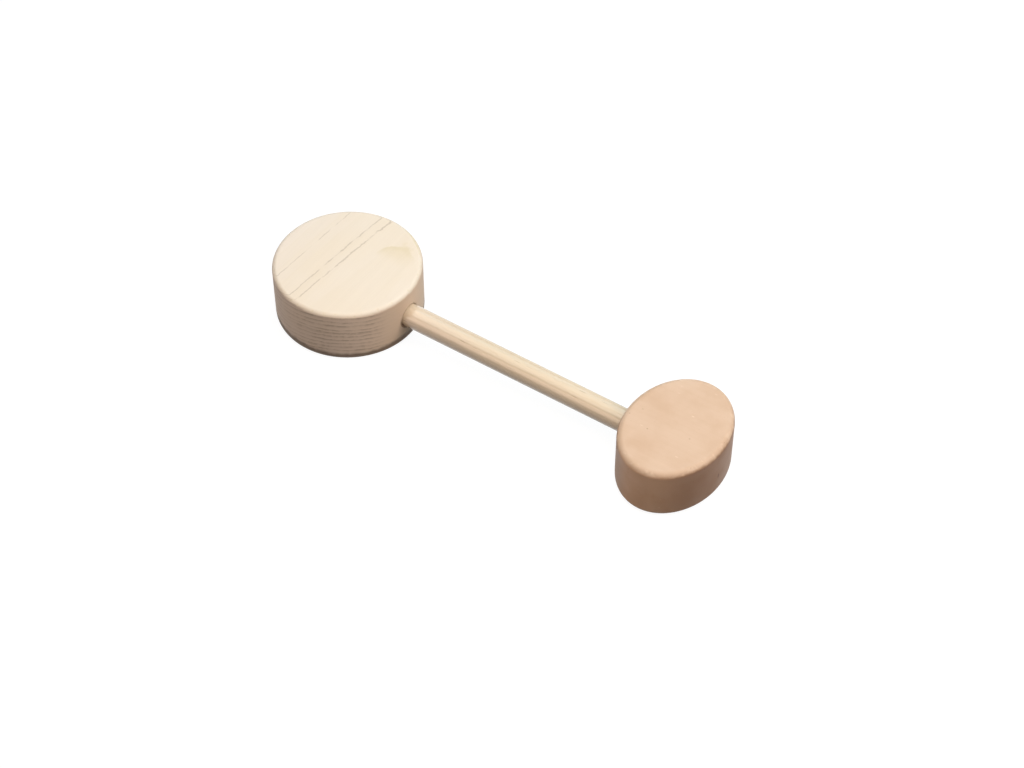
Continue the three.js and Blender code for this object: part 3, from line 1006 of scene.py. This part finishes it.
paper = bpy.data.materials.new("paper_floor")
paper.use_nodes = True
tree = paper.node_tree
tree.nodes.remove(tree.nodes["Principled BSDF"])
seen = seen_directly(tree)
lit = add(tree, "ShaderNodeBsdfDiffuse", {"Color": SHADED_WHITE})
glow = add(tree, "ShaderNodeEmission", {"Color": WHITE, "Strength": GLOW_STRENGTH})
white = add(tree, "ShaderNodeAddShader", {0: lit.outputs[0], 1: glow.outputs[0]})
plain = add(tree, "ShaderNodeBsdfDiffuse", {"Color": DIM_PAPER})
above = add(tree, "ShaderNodeMixShader", {0: seen, 1: plain.outputs[0], 2: white.outputs[0]})
clear = add(tree, "ShaderNodeBsdfTransparent")
below = add(tree, "ShaderNodeNewGeometry").outputs["Backfacing"]
ray_length = add(tree, "ShaderNodeLightPath").outputs["Ray Length"]
close = calc(tree, "LESS_THAN", ray_length, SHORT_RAY)
open_floor = calc(tree, "MAXIMUM", below, close)
both = add(tree, "ShaderNodeMixShader", {0: open_floor, 1: above.outputs[0], 2: clear.outputs[0]})
tree.links.new(both.outputs[0], tree.nodes["Material Output"].inputs["Surface"])
mesh.materials.append(paper)
print("floor", 2 * HALF_FLOOR, "m wide")

# %% World
LIGHT_FROM_BELOW = 0.5
LIGHT_FROM_ABOVE = 0.03
world = bpy.data.worlds.new("white_surround")
bpy.context.scene.world = world
world.use_nodes = True
tree = world.node_tree
seen = seen_directly(tree)
heading = add(tree, "ShaderNodeTexCoord").outputs["Generated"]
climb = add(tree, "ShaderNodeSeparateXYZ", {0: heading}).outputs["Z"]
fill = step(tree, climb, -0.2, 0.0, LIGHT_FROM_BELOW, LIGHT_FROM_ABOVE)
strength = calc(tree, "MAXIMUM", seen, fill)
tree.links.new(strength, tree.nodes["Background"].inputs["Strength"])
tree.nodes["Background"].inputs["Color"].default_value = WHITE
print("world", world.name)

# %% Softbox
def softbox(name, place, aim, width, depth, watts, colour):
    """A rectangular area lamp that points at a spot."""
    lamp = bpy.data.lights.new(name, "AREA")
    lamp.shape = "RECTANGLE"
    lamp.size = width
    lamp.size_y = depth
    lamp.energy = watts
    lamp.color = colour
    holder = bpy.data.objects.new(name, lamp)
    holder.location = place
    holder.rotation_euler = (Vector(aim) - Vector(place)).to_track_quat("-Z", "Y").to_euler()
    bpy.context.scene.collection.objects.link(holder)
    print(name, "at", tuple(place), watts, "W")


SOFT_WHITE = (1.0, 0.935, 0.865)
COOL = (0.60, 0.85, 1.0)
WARM = (1.0, 0.76, 0.63)
PALE_WARM = (1.0, 0.836, 0.738)
CENTRE = (0.02, 0.0, 0.01)
softbox("overhead_softbox", (0.03, -0.05, 0.36), (0.03, -0.05, 0.0), 0.56, 0.36, 1.44, SOFT_WHITE)
softbox("back_softbox", (0.03, 0.38, 0.36), (0.03, 0.38, 0.0), 0.56, 0.50, 1.6, COOL)
softbox("front_strip", (-0.29, -0.66, 0.33), CENTRE, 0.24, 0.5, 0.93, WARM)
softbox("right_panel", (0.48, 0.12, 0.30), CENTRE, 0.2, 0.25, 1.26, PALE_WARM)

# %% Sizes and finish
low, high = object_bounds()
print("visual size, mm:", [round((h - l) / MM, 2) for l, h in zip(low, high)])
